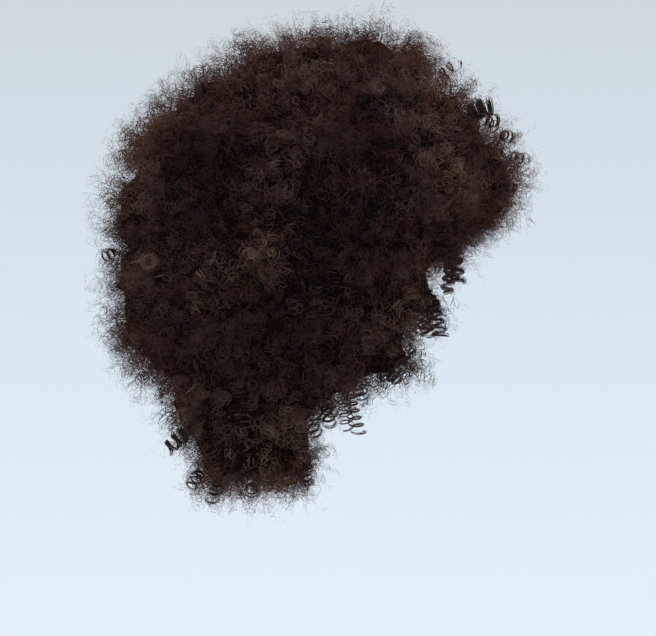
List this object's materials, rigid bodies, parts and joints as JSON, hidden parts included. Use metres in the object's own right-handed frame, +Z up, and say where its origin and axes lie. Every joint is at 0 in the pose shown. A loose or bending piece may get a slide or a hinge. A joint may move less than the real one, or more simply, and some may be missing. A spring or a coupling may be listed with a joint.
{
  "type": "curly wig",
  "caption": "Round, full wig of tight dark brown curls on a thin stretch cap, with an open face arch, hanging ringlets and a tapering nape.",
  "frame": {"origin": "highest point of the cap's hollow, where the top of the wearer's head sits", "axes": "+X towards the face, +Y to the wearer's left, +Z up"},
  "size_m": [0.3295, 0.315, 0.3682],
  "materials": {
    "cap_cloth": "matt black-brown stretch net",
    "crown_hair": "dark brown curled fibre, soft sheen",
    "fringe_hair": "dark brown curled fibre, soft sheen",
    "back_hair": "dark brown curled fibre, soft sheen",
    "right_side_hair": "dark brown curled fibre, soft sheen",
    "left_side_hair": "dark brown curled fibre, soft sheen",
    "nape_hair": "dark brown curled fibre, soft sheen"
  },
  "bodies": {
    "root": {"cap": "cap_cloth", "crown_wefts": "crown_hair", "fringe_wefts": "fringe_hair", "back_wefts": "back_hair", "right_side_wefts": "right_side_hair", "left_side_wefts": "left_side_hair", "nape_wefts": "nape_hair"}
  },
  "joints": []
}
